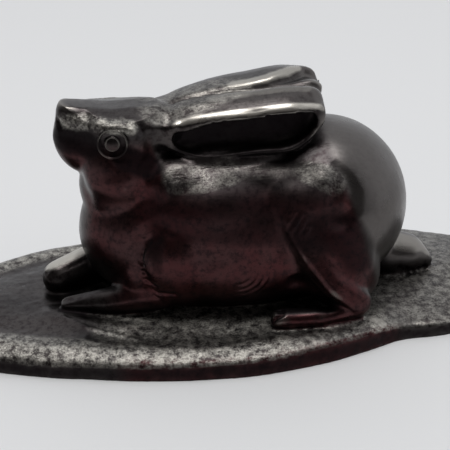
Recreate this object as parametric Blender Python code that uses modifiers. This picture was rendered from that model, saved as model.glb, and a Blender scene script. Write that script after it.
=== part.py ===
"""A small cast bronze okimono: a crouching rabbit, ears laid back, in one piece with a long leaf-shaped base.

Metres, +Z up. The rabbit looks along -X and its left side faces -Y.
The origin is the middle of the base's flat underside.
"""

import math

import bmesh
import bpy
import numpy as np
from mathutils import Euler, Matrix, Vector

MM = 0.001

# Driving sizes
RABBIT_LENGTH = 66 * MM
BASE_LENGTH = 132 * MM
BASE_WIDTH = 50 * MM
BASE_SIDE = 3.0 * MM
BASE_SIDE_RISE = 0.022
BASE_TOP = 4.0 * MM
SHOULDER_WIDTH = 4.6 * MM
DOME_REACH = 9.0 * MM
RIM_LIP = 0.25 * MM
LIP_PLACE, LIP_SPREAD = 3.4 * MM, 1.8 * MM
DIP_PLACE, DIP_SPREAD = 7.5 * MM, 2.6 * MM
NOTCH = 18 * MM
PAST_NOTCH = 28 * MM
RABBIT_OFF_CENTRE = 1.5 * MM

# One rabbit unit is a millimetre on the real rabbit, which is 66 mm from nose to tail.
UNIT = RABBIT_LENGTH / 66

# The rabbit's own heights are measured from FEET, the height at which its paws meet the base.
FEET = 4.9 * MM
CROWN = 41.3
CROWN_RISE = 0.14
CROWN_SLOPE = 0.26
BROW_ALONG = [-33.0, -28.2, -26.5, -24.8, -20.7]
BROW_ACROSS = [1.8, 2.4, 4.4, 6.0, 6.5]
BROW_SLOPE = 0.62
BELLY_ARCS = (-4.0, 15.0)
BELLY_SPACING = 1.1
BELLY_RIPPLE = 0.12 * MM
EYE = (-24.3, 7.0, 37.0)
EYE_FACING = (-0.2, 1.0, 0.2)
EYE_RING = (2.5, 0.32)
EYE_BEAD = (1.4, 1.4, 0.55)

# The clay is worked in small cubes, and the finished casting is thinned to a few thousand facets.
CLAY_CUBE = 0.45 * MM
EAR_CUBE = 0.35 * MM
CASTING_TRIANGLES = 8400
BELOW_CUT = 1.5 * MM

BRONZE_COLOUR = (0.045, 0.038, 0.036, 1.0)
NEAR, FAR = -1, 1


def eased(value, low, high):
    """0 below low, 1 above high and a soft step between them."""
    share = np.clip((value - low) / (high - low), 0, 1)
    return share * share * (3 - 2 * share)


def clear_scene():
    for obj in list(bpy.data.objects):
        bpy.data.objects.remove(obj)
    for collection in list(bpy.data.collections):
        bpy.data.collections.remove(collection)


def new_collection(name, shown=True):
    collection = bpy.data.collections.new(name)
    collection.hide_render = not shown
    bpy.context.scene.collection.children.link(collection)
    return collection


def object_from(clay, name, collection):
    """The bmesh as a new object, and the bmesh freed."""
    mesh = bpy.data.meshes.new(name)
    clay.to_mesh(mesh)
    clay.free()
    obj = bpy.data.objects.new(name, mesh)
    collection.objects.link(obj)
    return obj


def evaluated_mesh(obj):
    graph = bpy.context.evaluated_depsgraph_get()
    return bpy.data.meshes.new_from_object(obj.evaluated_get(graph))


def bake_modifiers(obj):
    """Replaces the object's mesh by the one its modifiers give."""
    mesh = evaluated_mesh(obj)
    obj.modifiers.clear()
    obj.data = mesh


def remesh(obj, cube, smoothing):
    """Fuses the overlapping shapes in an object into one skin, then softens it."""
    skin = obj.modifiers.new("Skin", "REMESH")
    skin.mode = "VOXEL"
    skin.voxel_size = cube
    soften = obj.modifiers.new("Soften", "SMOOTH")
    soften.factor = 0.5
    soften.iterations = smoothing
    bake_modifiers(obj)


# Clay shapes, placed in rabbit units: X from nose to tail, Y across, Z up from the underside


def on_rabbit(point):
    """A place given in rabbit units, in metres on the base."""
    x, y, z = point
    return Vector((x * UNIT, y * UNIT + RABBIT_OFF_CENTRE, FEET + (z - 4.9) * UNIT))


def new_egg():
    clay = bmesh.new()
    bmesh.ops.create_uvsphere(clay, u_segments=40, v_segments=24, radius=1)
    mesh = bpy.data.meshes.new("egg")
    clay.to_mesh(mesh)
    clay.free()
    return mesh


def lump(clay, centre, radii, turn=(0, 0, 0)):
    """An egg of clay: centre and radii in rabbit units, turn in degrees about X, Y and Z."""
    egg = bpy.data.meshes.get("egg") or new_egg()
    rotation = Euler([math.radians(angle) for angle in turn]).to_matrix().to_4x4()
    scale = Matrix.Diagonal([radius * UNIT for radius in radii] + [1])
    shape = egg.copy()
    shape.transform(Matrix.Translation(on_rabbit(centre)) @ rotation @ scale)
    clay.from_mesh(shape)
    bpy.data.meshes.remove(shape)


def pair(clay, centre, radii, turn=(0, 0, 0)):
    """The same lump on both sides of the rabbit; centre and turn are given for its right side."""
    x, y, z = centre
    roll, pitch, yaw = turn
    lump(clay, (x, y, z), radii, turn)
    lump(clay, (x, -y, z), radii, (-roll, pitch, -yaw))


def clay_roll(clay, path, radii, flat=1.0):
    """A tapering roll through the points of path, with a radius at each; flat is height over width."""
    steps = 10
    for i in range(len(path) - 1):
        for k in range(steps + (i == len(path) - 2)):
            share = k / steps
            centre = Vector(path[i]).lerp(Vector(path[i + 1]), share)
            radius = radii[i] + (radii[i + 1] - radii[i]) * share
            lump(clay, centre, (radius, radius, radius * flat))


def torso(clay):
    lump(clay, (14.6, 0, 19.8), (15.7, 16.0, 16.0))
    lump(clay, (0.0, 0, 17.8), (22.0, 15.8, 15.6))
    lump(clay, (-18.5, 0, 18.0), (11.8, 11.0, 13.0), (0, 12, 0))
    lump(clay, (-20.0, 0, 26.5), (10.0, 8.2, 9.5), (0, -10, 0))
    lump(clay, (-4.0, 0, 31.0), (15.0, 8.0, 4.8), (0, -4, 0))
    pair(clay, (-2.5, 7.4, 19.4), (17.0, 8.0, 8.0), (0, 2, 0))
    pair(clay, (-5.0, 8.0, 23.0), (13.0, 6.7, 7.4))
    pair(clay, (8.4, 9.4, 24.4), (8.6, 6.6, 6.6))
    pair(clay, (-1.6, 8.2, 13.8), (16.0, 7.8, 8.8))
    pair(clay, (6.0, 10.6, 15.0), (8.2, 5.9, 8.2))
    pair(clay, (-13.0, 4.4, 28.2), (7.6, 5.2, 4.8))
    lump(clay, (-1.0, 0, 7.0), (24.0, 12.0, 4.0))
    crest = [(-14.0, 6.2, 27.4), (-4.0, 7.2, 28.0), (5.0, 8.2, 28.2), (11.6, 9.8, 27.6)]
    for side in (NEAR, FAR):
        clay_roll(clay, [(x, side * out, z) for x, out, z in crest], [4.2, 3.5, 3.2, 4.2])


def head(clay):
    lump(clay, (-22.0, 0, 36.6), (9.0, 7.0, 7.2))
    pair(clay, (-23.2, 4.3, 37.6), (5.0, 2.9, 3.4))
    pair(clay, (-22.8, 3.2, 31.6), (6.8, 5.2, 6.4), (0, -22, 0))
    pair(clay, (-22.6, 3.6, 29.2), (6.5, 5.4, 5.4))
    pair(clay, (-22.4, 3.0, 26.4), (6.2, 5.4, 6.2))
    clay_roll(clay, [(-24, 0, 37.6), (-29.6, 0, 38.2)], [6.2, 4.1])
    lump(clay, (-30.0, 0, 40.6), (3.4, 3.1, 3.4))
    pair(clay, (-28.6, 2.2, 38.6), (3.6, 2.3, 2.8))
    lump(clay, (-29.4, 0, 34.8), (4.4, 4.2, 6.0), (0, -24, 0))
    lump(clay, (-16.5, 0, 37.2), (6.5, 6.0, 4.1))


def haunches(clay):
    pair(clay, (12.6, 11.4, 15.6), (13.0, 6.7, 8.2), (0, 50, 0))
    pair(clay, (16.0, 10.8, 12.0), (6.0, 6.6, 8.0), (0, 20, 0))
    pair(clay, (11.6, 11.6, 18.4), (7.0, 5.6, 7.0), (0, 30, 0))
    shin = [(5.4, 14.0, 23.6), (8.6, 15.8, 17.5), (12.8, 17.0, 11.5), (17.4, 17.0, 7.6)]
    foot = [(3.2, 18.0, 6.0), (10.0, 18.6, 6.0), (17.0, 17.4, 6.4)]
    for side in (NEAR, FAR):
        clay_roll(clay, [(x, side * out, z) for x, out, z in shin], [2.4, 2.7, 2.9, 2.8])
        clay_roll(clay, [(x, side * out, z) for x, out, z in foot], [2.1, 2.0, 2.2], 0.85)


def forelegs(clay):
    pair(clay, (-12.5, 8.8, 14.6), (8.6, 6.0, 9.2), (0, -24, 0))
    pair(clay, (-18.6, 6.8, 11.8), (5.6, 4.8, 6.6))
    clay_roll(clay, [(-17, -9.0, 8.6), (-25, -7.6, 6.7), (-33.2, -5.8, 5.6)], [3.7, 2.8, 1.7], 0.9)
    clay_roll(clay, [(-19, 8.0, 9.5), (-27, 5.0, 8.0), (-34.4, 2.2, 7.0)], [4.0, 3.8, 3.2])


def tail(clay):
    clay_roll(clay, [(27, 0, 7.8), (31.2, -0.4, 7.4), (35.2, -1.1, 5.9)], [4.6, 3.9, 1.5])


def make_body(shop):
    clay = bmesh.new()
    for shape in (torso, head, haunches, forelegs, tail):
        shape(clay)
    body = object_from(clay, "body_clay", shop)
    remesh(body, CLAY_CUBE, 16)
    return body


# Ears: a plate with the ears' outline for each, hollowed from outside by a second, smaller plate

EAR_OUTLINE = [
    (-17.5, 38.2), (-13.0, 41.0), (-8.0, 42.2), (0.0, 42.9), (9.0, 43.3),
    (12.8, 42.4), (13.4, 40.4), (10.2, 34.6), (0.0, 33.2), (-13.4, 34.0),
]
HOLLOW_OUTLINE = [
    (-13.6, 36.8), (-8.4, 40.5), (0.0, 41.7), (8.8, 42.0),
    (11.3, 41.0), (9.9, 36.2), (0.0, 34.4), (-12.8, 34.9),
]
EAR_WIDTH = 8.2
EAR_EDGE = 1.0
EAR_ROOT_SHARE = 0.72
EAR_TIP_SHARE = 0.86
FAR_TIP_LIFT = 1.2
FAR_TIP_REACH = 0.9
HOLLOW_DEPTH = 3.4
HOLLOW_EDGE = 0.9
RIM_SLOPE = 0.62
RIM_WIDTH = 3.1

# The line of the far ear's lip seen from above, and the thin ridge beside the channel that it overhangs
LIP_ALONG = [-3.0, 1.0, 5.0, 8.0, 9.8, 11.7]
LIP_ACROSS = [0.3, 0.4, 0.9, 2.2, 3.6, 5.2]
RIDGE_ACROSS = -2.9
CHANNEL_DEPTH = 2.0


def ear_share(along):
    """0 at the ear's root and 1 at its tip."""
    return (along - EAR_OUTLINE[0][0]) / (EAR_OUTLINE[6][0] - EAR_OUTLINE[0][0])


def drawn_out(outline, reach, lift):
    """The outline drawn out towards the ear's tip and lifted there."""
    return [(x + reach * ear_share(x), z + lift * ear_share(x)) for x, z in outline]


def side_plate(name, outline, middle, width, edge, shop):
    """An upright plate: its outline seen from the side, its middle's Y, its width and its round edge."""
    curve = bpy.data.curves.new(name, "CURVE")
    curve.dimensions = "2D"
    curve.fill_mode = "BOTH"
    curve.extrude = (width / 2 - edge) * UNIT
    curve.bevel_depth = edge * UNIT
    curve.bevel_resolution = 3
    curve.offset = -edge * UNIT
    spline = curve.splines.new("BEZIER")
    spline.bezier_points.add(len(outline) - 1)
    spline.use_cyclic_u = True
    for point, (x, z) in zip(spline.bezier_points, outline):
        height = on_rabbit((x, 0, z)).z
        point.co = (x * UNIT, height, 0)
        point.handle_left_type = point.handle_right_type = "AUTO"
    flat = bpy.data.objects.new(name, curve)
    shop.objects.link(flat)
    bpy.context.view_layer.update()
    mesh = evaluated_mesh(flat)
    bpy.data.objects.remove(flat)
    upright = Matrix.Translation((0, on_rabbit((0, middle, 0)).y, 0)) @ Matrix.Rotation(math.pi / 2, 4, "X")
    mesh.transform(upright)
    clay = bmesh.new()
    clay.from_mesh(mesh)
    bmesh.ops.remove_doubles(clay, verts=clay.verts, dist=0.01 * MM)
    bmesh.ops.recalc_face_normals(clay, faces=clay.faces)
    return object_from(clay, name, shop)


def ear_width(along):
    """Seen from above, the ears are narrow at the root, widest past the middle and rounded at the tip."""
    root = 1 - (1 - EAR_ROOT_SHARE) * (1 - eased(along, EAR_OUTLINE[0][0], 0))
    tip = 1 - (1 - EAR_TIP_SHARE) * eased(along, 6.5, EAR_OUTLINE[6][0])
    return EAR_WIDTH * root * tip


def taper_ear(ear):
    """Narrows the plate to the ear's width, and slopes its upper edge outwards."""
    points = points_of(ear)
    along = points[:, 0] / UNIT
    across = (points[:, 1] - RABBIT_OFF_CENTRE) / UNIT * ear_width(along) / EAR_WIDTH
    outside = np.clip(abs(across) - (ear_width(along) - RIM_WIDTH), 0, None) * np.where(across > 0, 0.3, 1)
    upper = eased(points[:, 2], on_rabbit((0, 0, 37)).z, on_rabbit((0, 0, 40)).z)
    points[:, 1] = across * UNIT + RABBIT_OFF_CENTRE
    points[:, 2] -= RIM_SLOPE * outside * upper * UNIT
    set_points(ear, points)


def open_channel(ear):
    """Between the ears a channel opens towards the tips, under the far ear's lip and beside a thin ridge."""
    points = points_of(ear)
    along = points[:, 0] / UNIT
    across = (points[:, 1] - RABBIT_OFF_CENTRE) / UNIT
    top = EAR_OUTLINE[:6]
    height = np.interp(along, *zip(*top)) + np.where(across > 0, FAR_TIP_LIFT * ear_share(along), 0)
    upper = eased((points[:, 2] - on_rabbit((0, 0, 0)).z) / UNIT, height - 3.2, height - 1.6)
    facing_up = eased(normals_of(ear)[:, 2], 0.1, 0.5) * upper
    opened = eased(along, -8, 11)
    lip = np.interp(along, LIP_ALONG, LIP_ACROSS)
    foot = RIDGE_ACROSS + 0.6
    slope = np.clip((across - foot) / (lip - foot), 0, 1)
    push = -CHANNEL_DEPTH * opened * slope * (1 - eased(across, lip - 0.7, lip + 0.3))
    push += 0.25 * opened * eased(across, lip, lip + 1.6)
    push += 0.45 * np.exp(-(((across - RIDGE_ACROSS) / 1.2) ** 2)) * eased(along, -9, -2)
    push -= 0.25 * np.exp(-(((across + 5.0) / 1.4) ** 2)) * eased(along, -12, -6)
    points[:, 2] += push * facing_up * UNIT
    set_points(ear, points)


def make_ear(side, shop):
    reach, lift = (FAR_TIP_REACH, FAR_TIP_LIFT) if side == FAR else (0, 0)
    outline = drawn_out(EAR_OUTLINE, reach, lift)
    opening = drawn_out(HOLLOW_OUTLINE, reach, lift)
    ear = side_plate("ear_clay", outline, side * EAR_WIDTH / 2, EAR_WIDTH, EAR_EDGE, shop)
    cutter = side_plate("ear_hollow", opening, side * EAR_WIDTH, 2 * HOLLOW_DEPTH, HOLLOW_EDGE, shop)
    cutter.hide_render = True
    cutter.display_type = "WIRE"
    hollow = ear.modifiers.new("Hollow", "BOOLEAN")
    hollow.operation = "DIFFERENCE"
    hollow.object = cutter
    bake_modifiers(ear)
    remesh(ear, EAR_CUBE, 6)
    taper_ear(ear)
    open_channel(ear)
    return ear


# Base

# The base's edge seen from above, as shares of half its length and half its width.
# It narrows past a notch by the tail.
BASE_EDGE = [
    (-1.0, 0.0), (-0.88, -0.42), (-0.7, -0.65), (-0.445, -0.86), (-0.11, -1.0), (0.08, -0.96), (0.27, -0.83),
    (0.335, -0.76), (0.38, -0.72), (0.52, -0.70), (0.7, -0.58), (0.88, -0.34), (1.0, -0.02), (0.87, 0.36),
    (0.7, 0.62), (0.52, 0.84), (0.25, 0.97), (-0.05, 1.0), (-0.46, 0.94), (-0.68, 0.76), (-0.88, 0.44),
]


def base_curve(shop):
    curve = bpy.data.curves.new("base_edge", "CURVE")
    curve.dimensions = "2D"
    curve.fill_mode = "BOTH"
    spline = curve.splines.new("BEZIER")
    spline.bezier_points.add(len(BASE_EDGE) - 1)
    spline.use_cyclic_u = True
    for point, (along, across) in zip(spline.bezier_points, BASE_EDGE):
        point.co = (along * BASE_LENGTH / 2, across * BASE_WIDTH / 2, 0)
        point.handle_left_type = point.handle_right_type = "AUTO"
    flat = bpy.data.objects.new("base_edge", curve)
    shop.objects.link(flat)
    return flat


def edge_line(flat):
    """The base's edge as a closed list of points, from the curve without thickness."""
    bpy.context.view_layer.update()
    mesh = evaluated_mesh(flat)
    clay = bmesh.new()
    clay.from_mesh(mesh)
    bmesh.ops.remove_doubles(clay, verts=clay.verts, dist=0.01 * MM)
    rim = {edge for edge in clay.edges if len(edge.link_faces) == 1}
    corner = next(iter(rim)).verts[0]
    line = [np.array(corner.co)]
    while rim:
        edge = next((edge for edge in corner.link_edges if edge in rim), None)
        if edge is None:
            break
        rim.remove(edge)
        corner = edge.other_vert(corner)
        line.append(np.array(corner.co))
    clay.free()
    return line


def base_height(along, inward):
    """Height of the base's top by place along the base and distance in from its edge.

    A broad rounded shoulder runs beside the rabbit. Past the notch it is crisp and the base gets thin.
    """
    behind = eased(along, NOTCH, PAST_NOTCH)
    side = (BASE_SIDE + BASE_SIDE_RISE * np.minimum(along, PAST_NOTCH)) * (1 - 0.4 * behind)
    shoulder = BASE_TOP + (side + 2 * RIM_LIP - BASE_TOP) * behind
    narrowed = 0.3 * eased(along, 0, 0.67 * NOTCH) + 0.4 * eased(along, NOTCH, 1.2 * NOTCH)
    width = SHOULDER_WIDTH * (1 - narrowed)
    bulge = np.sqrt(1 - (1 - np.clip(inward / width, 0, 1)) ** 2)
    dome = (FEET - shoulder) * (1 - np.exp(-inward / DOME_REACH))
    lip = np.exp(-(((inward - LIP_PLACE) / LIP_SPREAD) ** 2))
    lip -= np.exp(-(((inward - DIP_PLACE) / DIP_SPREAD) ** 2))
    return side + (shoulder - side) * bulge + dome + RIM_LIP * lip * (1 - behind)


def make_base(shop):
    """A leaf-shaped plate, its top raised to the base's height; it starts below the cut."""
    thick = BELOW_CUT + BASE_TOP
    flat = base_curve(shop)
    line = edge_line(flat)
    flat.data.extrude = thick / 2
    bpy.context.view_layer.update()
    mesh = evaluated_mesh(flat)
    bpy.data.objects.remove(flat)
    mesh.transform(Matrix.Translation((0, 0, thick / 2 - BELOW_CUT)))
    clay = bmesh.new()
    clay.from_mesh(mesh)
    bmesh.ops.remove_doubles(clay, verts=clay.verts, dist=0.01 * MM)
    base = object_from(clay, "base_clay", shop)
    remesh(base, CLAY_CUBE, 2)
    points = points_of(base)
    upper = np.clip(points[:, 2] / BASE_TOP, 0, 1)
    inward = distance_to(points * [1, 1, 0], line)[0]
    points[:, 2] += upper * (base_height(points[:, 0], inward) - BASE_TOP)
    set_points(base, points)
    return base


# Carving: points of the skin move in or out along strokes drawn on it


def points_of(obj):
    points = np.empty(len(obj.data.vertices) * 3, np.float32)
    obj.data.vertices.foreach_get("co", points)
    return points.reshape(-1, 3)


def normals_of(obj):
    normals = np.empty(len(obj.data.vertices) * 3, np.float32)
    obj.data.vertex_normals.foreach_get("vector", normals)
    return normals.reshape(-1, 3)


def set_points(obj, points):
    obj.data.vertices.foreach_set("co", np.ascontiguousarray(points, np.float32).ravel())
    obj.data.update()


def distance_to(points, path):
    """Each point's distance to a line drawn through path, and its place along the line, from 0 to 1."""
    nearest = np.full(len(points), np.inf)
    place = np.zeros(len(points))
    for i, (start, end) in enumerate(zip(path[:-1], path[1:])):
        along = end - start
        share = np.clip((points - start) @ along / max(along @ along, 1e-12), 0, 1)
        distance = np.linalg.norm(points - start - share[:, None] * along, axis=1)
        closer = distance < nearest
        nearest[closer] = distance[closer]
        place[closer] = (i + share[closer]) / (len(path) - 1)
    return nearest, place


def stroke(obj, path, width, push, way=None):
    """Raises the skin by push along a line, or sinks it where push is negative, fading to nothing at width.

    width and push are one value, or a pair for the line's start and end.
    The skin moves along its normal, or along way.
    """
    line = [np.array(on_rabbit(point)) for point in path]
    if len(line) == 1:
        line = line * 2
    widths = np.broadcast_to(width, 2) * UNIT
    pushes = np.broadcast_to(push, 2) * UNIT
    points = points_of(obj)
    reach = widths.max()
    low, high = np.min(line, axis=0) - reach, np.max(line, axis=0) + reach
    near = np.flatnonzero(((points > low) & (points < high)).all(axis=1))
    distance, place = distance_to(points[near], line)
    fade = np.clip(1 - (distance / (widths[0] + (widths[1] - widths[0]) * place)) ** 2, 0, 1) ** 2
    amount = fade * (pushes[0] + (pushes[1] - pushes[0]) * place)
    direction = normals_of(obj)[near] if way is None else np.array([way])
    points[near] += direction * amount[:, None]
    set_points(obj, points)


def both_sides(obj, path, width, push):
    for side in (NEAR, FAR):
        stroke(obj, [(x, side * out, z) for x, out, z in path], width, push)


def flatten_crown(obj):
    """Presses the top of the head to a low roof, steeper beyond the brows and rising towards the nose."""
    points = points_of(obj)
    along = points[:, 0] / UNIT
    across = abs(points[:, 1] - RABBIT_OFF_CENTRE) / UNIT
    beyond = np.clip(across - np.interp(along, BROW_ALONG, BROW_ACROSS), 0, None)
    ridge = CROWN + CROWN_RISE * np.clip(-24 - along, 0, None)
    fall = CROWN_SLOPE * np.clip(across - 2, 0, None) + BROW_SLOPE * beyond
    roof = on_rabbit((0, 0, 0)).z + (ridge - fall) * UNIT
    over = (points[:, 2] > roof) & (along < -13)
    pressed = 0.95 * (1 - eased(along[over], -16.5, -13))
    points[over, 2] -= (points[over, 2] - roof[over]) * pressed
    set_points(obj, points)


def carve_head(casting):
    flatten_crown(casting)
    both_sides(casting, [(-26.4, 5.2, 39.8), (-24.8, 6.2, 39.7), (-20.8, 6.6, 39.4)], 1.3, 0.35)
    both_sides(casting, [(-31.2, 3.6, 37.8), (-28.0, 4.8, 36.8)], 2.8, -0.6)
    both_sides(casting, [(-22.5, 7.6, 29.6)], 6.0, 0.35)
    both_sides(casting, [(-23.0, 7.6, 34.2), (-19.4, 7.4, 32.8)], 2.2, -0.5)
    both_sides(casting, [(-20.6, 7.0, 38.6), (-18.6, 7.4, 34.8)], 1.8, 0.5)
    jaw = [(-17.0, 7.4, 36.5), (-17.6, 6.8, 33.3), (-19.1, 7.4, 31.0), (-20.6, 7.9, 29.2)]
    both_sides(casting, jaw, 2.6, -0.35)
    both_sides(casting, [(-33.2, 1.4, 39.6), (-32.8, 2.3, 38.9)], 0.9, -0.5)
    both_sides(casting, [EYE], 3.8, -0.35)
    both_sides(casting, [(-17.6, 5.6, 38.9), (-13.4, 6.3, 39.3)], 1.5, 0.45)


def carve_flanks(casting):
    rear = [
        (14.4, 10.6, 31.4), (16.1, 12.4, 29.6), (16.9, 13.8, 27.4), (16.4, 15.0, 25.2), (14.4, 15.8, 23.8)
    ]
    both_sides(casting, rear, (1.4, 2.8), (-0.1, -0.6))
    both_sides(casting, [(14.4, 15.8, 23.8), (10.0, 16.0, 22.8)], (2.8, 3.4), (-0.5, -0.3))
    shin = [(4.0, 16.8, 22.6), (5.6, 17.6, 20.7), (8.2, 18.7, 16.5), (12.8, 19.9, 10.7), (16.3, 20.0, 7.8)]
    both_sides(casting, shin, 1.3, 0.35)
    both_sides(casting, [(6.6, 16.2, 11.6), (9.0, 17.0, 9.8), (12.0, 17.8, 8.4)], 2.6, -0.8)
    arm = [
        (-20.9, 10.8, 18.4), (-19.6, 10.8, 21.0), (-16.4, 11.2, 22.6), (-12.8, 12.6, 22.0), (-8.4, 13.9, 19.4)
    ]
    both_sides(casting, arm, 2.6, -0.28)
    both_sides(casting, [(-17.6, 11.2, 19.6), (-17.2, 11.6, 15.6)], 2.4, -0.6)


def carve_base(casting):
    mound = [(-36.0, -7.0, 4.9), (-31.0, -10.6, 4.9), (-25.0, -14.0, 4.8)]
    stroke(casting, mound, 3.4, 0.4, (0, 0, 1))
    step = [(-34.7, -9.0, 4.7), (-30.9, -12.7, 4.5), (-26.8, -15.1, 4.2), (-22.0, -18.1, 4.1)]
    stroke(casting, step, 0.8, 0.2, (0, 0, 1))


def ripple_belly(casting):
    """Arcs of fur low on the belly, one inside the other, in front of the thigh."""
    points = points_of(casting)
    middle_along, middle_height = BELLY_ARCS
    along = points[:, 0] / UNIT - middle_along
    height = (points[:, 2] - on_rabbit((0, 0, middle_height)).z) / UNIT
    across = abs(points[:, 1] - RABBIT_OFF_CENTRE) / UNIT
    radius, turn = np.hypot(along, height), np.arctan2(height, along)
    arcs = eased(radius, 1.6, 2.6) * (1 - eased(radius, 5.4, 6.6))
    arcs *= eased(turn, -1.8, -1.3) * (1 - eased(turn, 0.2, 0.6))
    outer_skin = eased(across, 12, 13) * (1 - eased(across, 16.6, 17.2))
    push = BELLY_RIPPLE * np.cos(2 * math.pi * radius / BELLY_SPACING) * arcs * outer_skin
    set_points(casting, points + normals_of(casting) * push[:, None])


def carve_fur(casting):
    """Short strokes of fur: at the elbow, at the knee, low on the belly, on the paws and on the tail."""
    for i in range(3):
        x = -21.0 + 0.9 * i
        both_sides(casting, [(x + 0.5, 10.6, 20.0), (x - 0.3, 10.8, 18.0), (x, 11.0, 16.0)], 0.7, -0.35)
    for i in range(6):
        share = i / 5
        x, out, z = -20.2 + 2.4 * share**2, 11.2 + 1.8 * share, 15.6 - 7.4 * share
        comma = [(x, out, z), (x + 1.6, out + 0.6, z - 1.0), (x + 4.4, out + 1.4, z - 1.0)]
        both_sides(casting, comma, 0.7, -0.4)
    ripple_belly(casting)
    for i in range(4):
        path = [(4.0 + 1.1 * i, 16.6, 22.8 - 0.5 * i), (6.0 + 1.1 * i, 15.8 + 0.2 * i, 25.8 - 0.6 * i)]
        both_sides(casting, path, 0.6, 0.3)
    for k in (-2.4, -1.2, 0.0, 1.2):
        sunk = 0.3 * abs(k)
        stroke(casting, [(-27.6, 4.8 + k, 11.4 - sunk), (-36.4, 2.4 + 1.1 * k, 9.0 - sunk)], 0.7, -0.2)
        stroke(casting, [(-28.6, -7.4 + 0.5 * k, 8.8), (-35.0, -6.2 + 0.4 * k, 6.4)], 0.6, -0.25)
    for k in (-1, 0, 1):
        both_sides(casting, [(1.4, 18.2 + 0.9 * k, 6.0), (3.6, 18.4 + 0.9 * k, 7.8)], 0.7, -0.45)
    for i in range(5):
        x, y = 29.0 + 1.2 * i, -4.0 + 0.4 * i
        stroke(casting, [(x, y, 6.6), (x + 0.8, y - 0.2, 4.6)], 0.8, -0.5)


def carve(casting):
    for work in (carve_head, carve_flanks, carve_base, carve_fur):
        work(casting)


def make_casting(shop, shown):
    clay = bmesh.new()
    for piece in [make_body(shop), make_ear(NEAR, shop), make_ear(FAR, shop), make_base(shop)]:
        clay.from_mesh(piece.data)
        bpy.data.objects.remove(piece)
    casting = object_from(clay, "rabbit_on_base", shown)
    remesh(casting, CLAY_CUBE, 3)
    carve(casting)
    return casting


def eye(side, shop):
    """A thin raised ring with a low bead inside it, set half into the head."""
    facing = Vector((EYE_FACING[0], side * EYE_FACING[1], EYE_FACING[2]))
    x, out, z = EYE
    turn = facing.to_track_quat("Z", "Y").to_matrix().to_4x4()
    place = Matrix.Translation(on_rabbit((x, side * out, z))) @ turn
    radius, thickness = EYE_RING
    bpy.ops.mesh.primitive_torus_add(
        major_radius=radius * UNIT, minor_radius=thickness * UNIT, major_segments=24, minor_segments=8
    )
    rim = bpy.context.object
    rim.data.transform(place)
    clay = bmesh.new()
    clay.from_mesh(rim.data)
    bpy.data.objects.remove(rim)
    bead = Matrix.Diagonal([share * UNIT for share in EYE_BEAD] + [1])
    bmesh.ops.create_uvsphere(clay, u_segments=16, v_segments=10, radius=1, matrix=place @ bead)
    return object_from(clay, "eye_clay", shop)


def set_eyes(casting, shop):
    for side in (NEAR, FAR):
        piece = eye(side, shop)
        piece.hide_render = True
        join = casting.modifiers.new("Eye", "BOOLEAN")
        join.operation = "UNION"
        join.object = piece
        bake_modifiers(casting)


def thin_and_cut(casting):
    thin = casting.modifiers.new("Thin", "DECIMATE")
    thin.ratio = CASTING_TRIANGLES / (2 * len(casting.data.polygons))
    bake_modifiers(casting)
    clay = bmesh.new()
    clay.from_mesh(casting.data)
    everything = clay.verts[:] + clay.edges[:] + clay.faces[:]
    cut = bmesh.ops.bisect_plane(
        clay, geom=everything, plane_co=(0, 0, 0), plane_no=(0, 0, -1), clear_outer=True
    )
    rim = [item for item in cut["geom_cut"] if isinstance(item, bmesh.types.BMEdge)]
    bmesh.ops.edgeloop_fill(clay, edges=rim)
    bmesh.ops.triangulate(clay, faces=clay.faces[:])
    clay.to_mesh(casting.data)
    clay.free()


def bronze():
    material = bpy.data.materials.new("dark_bronze")
    material.use_nodes = True
    shader = material.node_tree.nodes["Principled BSDF"]
    shader.inputs["Base Color"].default_value = BRONZE_COLOUR
    shader.inputs["Metallic"].default_value = 1.0
    shader.inputs["Roughness"].default_value = 0.3
    return material


def main():
    clear_scene()
    shop = new_collection("workshop", shown=False)
    shown = new_collection("rabbit_okimono")
    casting = make_casting(shop, shown)
    thin_and_cut(casting)
    set_eyes(casting, shop)
    casting.data.materials.clear()
    casting.data.materials.append(bronze())
    casting.data.shade_smooth()
    for leftover in list(shop.objects):
        bpy.data.objects.remove(leftover)


main()
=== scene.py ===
"""The looks of a small cast bronze okimono: a crouching rabbit, ears laid back, on a long leaf-shaped base.

Metres, +Z up. The rabbit looks along -X and its left side faces -Y, towards the camera.
"""

import math

import bmesh
import bpy
import numpy as np
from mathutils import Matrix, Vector, noise
from mathutils.bvhtree import BVHTree


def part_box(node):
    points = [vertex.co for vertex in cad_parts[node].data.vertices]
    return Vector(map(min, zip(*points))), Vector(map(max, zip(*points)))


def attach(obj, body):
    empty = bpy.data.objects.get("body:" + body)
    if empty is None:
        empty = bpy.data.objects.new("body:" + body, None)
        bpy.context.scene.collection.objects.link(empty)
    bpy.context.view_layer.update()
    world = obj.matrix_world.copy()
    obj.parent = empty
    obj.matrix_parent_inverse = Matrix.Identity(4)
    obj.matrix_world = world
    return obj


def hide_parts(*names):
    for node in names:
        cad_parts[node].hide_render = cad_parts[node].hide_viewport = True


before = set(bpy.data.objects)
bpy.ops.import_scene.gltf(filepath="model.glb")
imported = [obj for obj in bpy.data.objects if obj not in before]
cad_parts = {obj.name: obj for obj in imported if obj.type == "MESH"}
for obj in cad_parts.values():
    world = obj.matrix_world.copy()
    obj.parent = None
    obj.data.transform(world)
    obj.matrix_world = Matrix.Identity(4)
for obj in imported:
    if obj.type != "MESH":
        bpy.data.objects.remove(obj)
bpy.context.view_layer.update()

MM = 0.001
NODE = "rabbit_on_base"
LOW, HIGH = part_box(NODE)

# Sizes taken from the frame
BASE_LENGTH = HIGH[0] - LOW[0]
BASE_WIDTH = HIGH[1] - LOW[1]

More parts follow.
